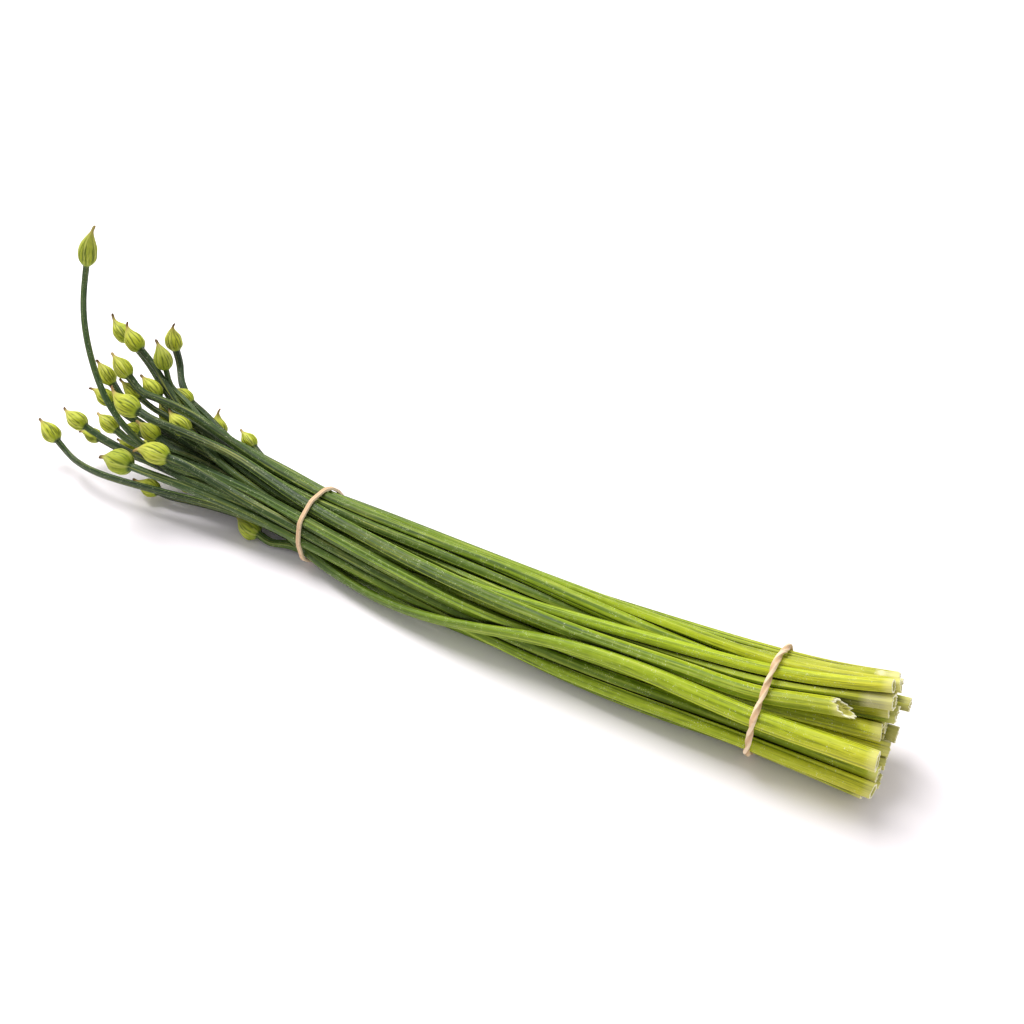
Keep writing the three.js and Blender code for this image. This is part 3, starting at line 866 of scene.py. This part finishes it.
def paint(red, green, blue):
    """A colour given on the 0 to 255 scale, turned into light values."""
    share = np.array([red, green, blue]) / 255
    light = np.where(share <= 0.04045, share / 12.92, ((share + 0.055) / 1.055) ** 2.4)
    return (*(float(value) for value in light), 1.0)


def start_finish(name):
    """An empty material with its output and shader: (material, node tree, shader)."""
    material = bpy.data.materials.new(name)
    material.use_nodes = True
    tree = material.node_tree
    tree.nodes.clear()
    shader = tree.nodes.new("ShaderNodeBsdfPrincipled")
    output = tree.nodes.new("ShaderNodeOutputMaterial")
    tree.links.new(shader.outputs[0], output.inputs[0])
    return material, tree, shader


def feed(tree, shader, **wires):
    """Joins wires to the shader's sockets, with _ for the spaces in their names."""
    for key, wire in wires.items():
        tree.links.new(wire.socket, shader.inputs[key.replace("_", " ")])


# %% Attributes, noise and bump
def read(tree, name, output=2):
    """An attribute kept on the piece: output 2 is its number, 1 its vector."""
    return Wire.node(tree, "ShaderNodeAttribute", {"attribute_name": name}, output=output)


def vector_maths(tree, operation, first, second):
    """A Vector Math node on two vectors or wires."""
    settings = {"operation": operation}
    return Wire.node(tree, "ShaderNodeVectorMath", settings, {0: first, 1: second})


def noise(tree, vector, scale, detail, rough=0.5):
    """Fractal noise from 0 to 1 at a vector."""
    sockets = {"Vector": vector, "Scale": scale, "Detail": detail, "Roughness": rough}
    return Wire.node(tree, "ShaderNodeTexNoise", None, sockets)


def bumped(tree, height, strength, distance):
    """The surface's normal, leaning with the slope of a height."""
    sockets = {"Strength": strength, "Distance": distance, "Height": height}
    return Wire.node(tree, "ShaderNodeBump", None, sockets)


# %% [markdown]
# ## The grain of a scape
#
# Everything on a stem runs along it: threads as fine as a hair, pale streaks, slow changes of
# tone. Only the specks of painted glint, which stand in for sparkles of light, are as broad as they
# are long. All of it is noise read on a plain tube as long as the scape, shrunk lengthwise for what
# runs along it. The three traits move each scape to another place in the noise, so no two look
# alike.

# %% Noises along and across a scape
FACTS = "tone shift dryness ridge furrow flat squeeze fold bud cut sheath along".split()
LENGTHWISE = (1.0, 1.0, 0.03)  # shrinks the grain's length
SPREAD = 90  # how far apart the traits move two scapes in the noise


def grain_of(tree):
    """Every fact kept on a scape, and the noises made from its grain, as wires by name."""
    look = {name: read(tree, name) for name in FACTS}
    moved = {k: look[name] * SPREAD for k, name in enumerate(("tone", "shift", "dryness"))}
    apart = Wire.node(tree, "ShaderNodeCombineXYZ", None, moved)
    grain = read(tree, "grain", 1)
    stretched = vector_maths(tree, "ADD", vector_maths(tree, "MULTIPLY", grain, LENGTHWISE), apart)
    even = vector_maths(tree, "ADD", grain, apart)
    look["threads"] = noise(tree, stretched, 4.0, 3.0, 0.6)
    look["streaks"] = noise(tree, stretched, 1.3, 3.0, 0.6)
    look["patches"] = noise(tree, stretched, 0.3, 2.0)
    look["mottle"] = noise(tree, even, 0.35, 4.0, 0.6)
    look["specks"] = noise(tree, even, 3.2, 2.0)
    return look


# %% [markdown]
# ## The green of a stem
#
# The colour of a scape is a record of the light it grew in: nearly white-yellow where it was cut
# near the soil, fresh yellow-green above that, and a deep blue-green towards the bud. Each scape
# starts that change at its own height. Two ramps, one fresh and one deep, follow the height, and
# the scape's tone, its flats and a mottle choose between them. Then come pale streaks and dark
# threads, a painted highlight on the ridges, painted shade in the furrows and in the creases where
# pressed scapes meet and no light gets in, and small painted glints.

# %% Colour of the stem
FULL_GREEN = 1 / 0.3  # the ramps run over 30 cm
SOIL_SHIFT = 0.14
PATCH_SHIFT = 0.15


def green_height(look):
    """Height on the ramps: distance from the cut, moved by the scape's shift and by patches."""
    moved = (look["shift"] - 0.5) * SOIL_SHIFT + (look["patches"] - 0.5) * PATCH_SHIFT
    return look["along"] * FULL_GREEN + moved


def base_green(look, height):
    """The deep green, with the fresh one mixed in by tone, flat and mottle."""
    fresh = height.ramp(
        (0.00, 218, 212, 58),
        (0.05, 210, 212, 40),
        (0.13, 192, 206, 28),
        (0.30, 168, 192, 34),
        (0.48, 136, 164, 34),
        (0.66, 92, 120, 36),
        (0.80, 64, 90, 36),
        (1.00, 56, 82, 38),
    )
    deep = height.ramp(
        (0.00, 160, 166, 34),
        (0.05, 132, 148, 20),
        (0.13, 98, 126, 12),
        (0.30, 66, 94, 14),
        (0.48, 46, 70, 18),
        (0.66, 34, 52, 20),
        (0.80, 27, 43, 22),
        (1.00, 30, 48, 26),
    )
    freshness = look["tone"] * 0.6 + look["flat"] * 0.5 + look["mottle"] * 0.4 - 0.27
    return deep.tint(fresh, freshness)


def stem_colour(look):
    """Green with its streaks and threads, painted highlights on the ridges, painted shade in the
    furrows and creases, painted glints, the sheath and the pale end.
    """
    height = green_height(look)
    green = base_green(look, height)
    pale_streaks = look["streaks"].between(0.5, 0.75)
    dark_streaks = (1 - look["streaks"]).between(0.5, 0.7)
    green = green.tint(paint(222, 224, 104), pale_streaks * 0.3)
    green = green.tint(paint(26, 46, 12), dark_streaks * 0.55)
    green = green.tint(paint(30, 52, 14), look["threads"].between(0.52, 0.7) * 0.45)
    # Painted highlight: the ridges are painted paler, as if they caught the light.
    crest = height.ramp(
        (0.10, 218, 222, 78),
        (0.60, 168, 192, 72),
        (0.85, 120, 148, 68),
    )
    green = green.tint(crest, look["ridge"].between(0.3, 0.9) * 0.6)
    # Painted shade: the furrows are painted dark.
    green = green.tint(paint(34, 56, 14), look["furrow"].between(0.1, 0.8) * 0.8)
    # Painted shade: darker where a scape is pressed against its neighbours, in the creases between
    # them.
    crease_shade = look["squeeze"].between(0.015, 0.1) * look["along"].between(-0.03, 0.03)
    green = green.tint(paint(14, 24, 8), crease_shade * 0.92)
    # Painted glints: small pale spots that stand in for sparkles of light on the wax.
    painted_glint = look["specks"].between(0.61, 0.67) * look["mottle"].between(0.48, 0.58)
    green = green.tint(paint(226, 232, 190), painted_glint * 0.55)
    green = green.tint(paint(232, 224, 176), look["sheath"] * 0.9)
    pale_end = 1 - look["along"].between(0.0005, 0.004)
    return green.tint(paint(226, 220, 140), pale_end * 0.6)


# %% [markdown]
# ## The paper of a bud and the face of a cut
#
# The bud's sheath is thin dry paper over green florets: green at the joint, yellow over the belly,
# brown in the beak, and painted darker in the folds as shade. The cut face has three rings: a moist
# green skin, a pale firm rim, and a dull pith.


# %% Colour of the bud and of the cut face
def bud_colour(look):
    """Paper from green to brown along the bud, with pale streaks, folds painted dark as shade and a
    burnt beak.
    """
    papery = look["bud"].ramp(
        (0.00, 120, 146, 36),
        (0.08, 146, 162, 28),
        (0.25, 174, 182, 38),
        (0.50, 184, 190, 54),
        (0.75, 176, 174, 66),
        (0.90, 172, 140, 86),
        (1.00, 152, 108, 76),
    )
    papery = papery.tint(paint(224, 224, 122), look["streaks"].between(0.45, 0.68) * 0.55)
    papery = papery.tint(paint(120, 140, 32), look["mottle"].between(0.5, 0.75) * 0.4)
    # Painted shade: the folds are painted darker.
    papery = papery.tint(paint(76, 90, 18), look["fold"].between(0.1, 0.6) * 0.85)
    papery = papery.tint(paint(136, 148, 40), look["threads"].between(0.5, 0.7) * 0.4)
    papery = papery.tint(paint(90, 116, 30), look["tone"].between(0.75, 1.0) * 0.4)
    burnt = look["bud"].between(0.84, 0.98) * look["dryness"].between(0.35, 0.6)
    return papery.tint(paint(78, 50, 34), burnt * 0.85)


def face_colour(look):
    """Rings of the cut face, from its rim (0.2) to its middle (1)."""
    return look["cut"].ramp(
        (0.20, 238, 234, 190),
        (0.40, 246, 242, 212),
        (0.50, 190, 186, 92),
        (0.70, 166, 162, 70),
        (1.00, 186, 180, 92),
    )


# %% Give every scape its finish
def scape_finish():
    """Stem, bud and cut face in one material, with a soft wax that the dry bud has lost."""
    material, tree, shader = start_finish("waxy green scape")
    look = grain_of(tree)
    colour = stem_colour(look).tint(bud_colour(look), look["bud"].between(0.0, 0.06))
    colour = colour.tint(face_colour(look), look["cut"].between(0.05, 0.25))
    rough = 0.4 + look["streaks"] * 0.2 + look["bud"].between(0.0, 0.1) * 0.14
    relief = look["threads"] * 0.6 + look["streaks"] * 0.6 + look["mottle"] * 0.25
    shader.inputs["Specular IOR Level"].default_value = 0.28
    fine = bumped(tree, relief, strength=0.35, distance=0.3 * MM)
    feed(tree, shader, Base_Color=colour, Roughness=rough, Normal=fine)
    return material


waxy_green = scape_finish()
for piece in scapes:
    piece.data.materials.append(waxy_green)
print("nodes in the scape's finish:", len(waxy_green.node_tree.nodes))

# %% [markdown]
# ## Natural rubber
#
# Plain rubber bands are a pale tan. The edges are painted lighter and the middle darker, a painted
# highlight and a painted shade, faint streaks run across, and the surface is almost matt. The
# streaks are noise read on the length round the band, so they follow it however it twists.


# %% Tan rubber
def rubber_finish():
    """Tan, painted paler at the strip's edges as a highlight and darker in its middle as shade, with
    streaks across and pale blotches.
    """
    material, tree, shader = start_finish("tan rubber")
    edge = read(tree, "edge")
    along_strip = Wire.node(tree, "ShaderNodeCombineXYZ", None, {0: read(tree, "around"), 1: edge})
    lines = noise(tree, along_strip, 0.8, 2.0)
    blotches = noise(tree, Wire.node(tree, "ShaderNodeTexCoord", output=3), 900.0, 3.0)
    # Painted highlight and shade: paler towards the strip's edges, darker in its middle.
    tan = edge.ramp(
        (0.0, 204, 166, 126),
        (0.7, 218, 184, 144),
        (1.0, 242, 216, 182),
    )
    tan = tan.tint(paint(170, 122, 88), lines.between(0.5, 0.85) * 0.45)
    tan = tan.tint(paint(245, 224, 196), blotches.between(0.5, 0.9) * 0.4)
    fine = bumped(tree, blotches, strength=0.3, distance=0.2 * MM)
    feed(tree, shader, Base_Color=tan, Roughness=0.5 + blotches * 0.15, Normal=fine)
    return material


rubber = rubber_finish()
for piece in bands:
    piece.data.materials.append(rubber)
print("nodes in the rubber's finish:", len(rubber.node_tree.nodes))

# %% Lay the table
TABLE_REACH = 6.0
TABLE_WHITE = (0.95, 0.9, 0.94, 1)


def white_table():
    """One square at height zero, matt and white."""
    corners = np.array([[-1, -1, 0], [1, -1, 0], [1, 1, 0], [-1, 1, 0]])
    quad = np.array([[0, 1, 2, 3]])
    table = mesh_from("table", corners * TABLE_REACH, quad, np.empty((0, 3), int))
    material, _, shader = start_finish("white table")
    shader.inputs["Base Color"].default_value = TABLE_WHITE
    shader.inputs["Roughness"].default_value = 0.9
    shader.inputs["Specular IOR Level"].default_value = 0.1
    table.data.materials.append(material)


white_table()
print("table:", 2 * TABLE_REACH, "m wide")

# %% [markdown]
# ## Soft light
#
# One big soft lamp stands high behind the bunch and a little to the left, so the shadows fall
# towards the viewer. A smaller lamp would give harder ones; the white room keeps them pale.

# %% Directions seen by the viewer
AZIMUTH = np.radians(30.7)
ELEVATION = np.radians(40)
RIGHT = np.array([np.cos(AZIMUTH), np.sin(AZIMUTH), 0])
AWAY = np.array([-np.sin(AZIMUTH), np.cos(AZIMUTH), 0])
UP = np.array([0, 0, 1])
WAIST = np.array([WAIST_X, (waist_low.y + waist_high.y) / 2, 0])
print("waist, mm:", [round(float(v / MM), 2) for v in WAIST])

# %% Lamp and white room
LAMP_PLACE = WAIST - 0.3 * RIGHT + 0.45 * AWAY + 1.15 * UP
LAMP_SIZE = 0.9
LAMP_POWER = 19
ROOM_LIGHT = 0.64


def look_along(direction):
    """The turn that points a camera or light along a direction."""
    return Vector(direction).to_track_quat("-Z", "Y").to_euler()


def soft_light(name, place, aim, size, power):
    """A round lamp of a given width that looks at a point."""
    lamp = bpy.data.lights.new(name, "AREA")
    lamp.shape = "DISK"
    lamp.size = size
    lamp.energy = power
    item = bpy.data.objects.new(name, lamp)
    item.location = place
    item.rotation_euler = look_along(aim - place)
    bpy.context.scene.collection.objects.link(item)


def white_room(strength):
    """Even white light from all round."""
    world = bpy.data.worlds.new("white room")
    world.use_nodes = True
    background = world.node_tree.nodes["Background"]
    background.inputs[0].default_value = (1, 1, 1, 1)
    background.inputs[1].default_value = strength
    bpy.context.scene.world = world


soft_light("key", LAMP_PLACE, WAIST, LAMP_SIZE, LAMP_POWER)
white_room(ROOM_LIGHT)
bpy.context.scene.view_settings.view_transform = "Standard"
print("lamp height, m:", round(float(LAMP_PLACE[2]), 2))

# %% [markdown]
# ## Camera
#
# A small object is seen from close by, so its near end looks larger. The camera stands less than
# half a metre off, looks down at forty degrees, and aims at a point on the table.

# %% Place the camera
DISTANCE = 0.452
TARGET = np.array([WAIST_X + 47.1 * MM, 50.5 * MM, 0])
SENSOR = 36  # mm
FOCAL_LENGTH = 42.1875  # mm

lens = bpy.data.cameras.new("camera")
lens.sensor_width = SENSOR
lens.lens = FOCAL_LENGTH
camera = bpy.data.objects.new("camera", lens)
sight = np.cos(ELEVATION) * AWAY - np.sin(ELEVATION) * UP
camera.location = TARGET - DISTANCE * sight
camera.rotation_euler = look_along(sight)
bpy.context.scene.collection.objects.link(camera)
bpy.context.scene.camera = camera
print("camera, mm:", [round(float(v / MM)) for v in camera.location])
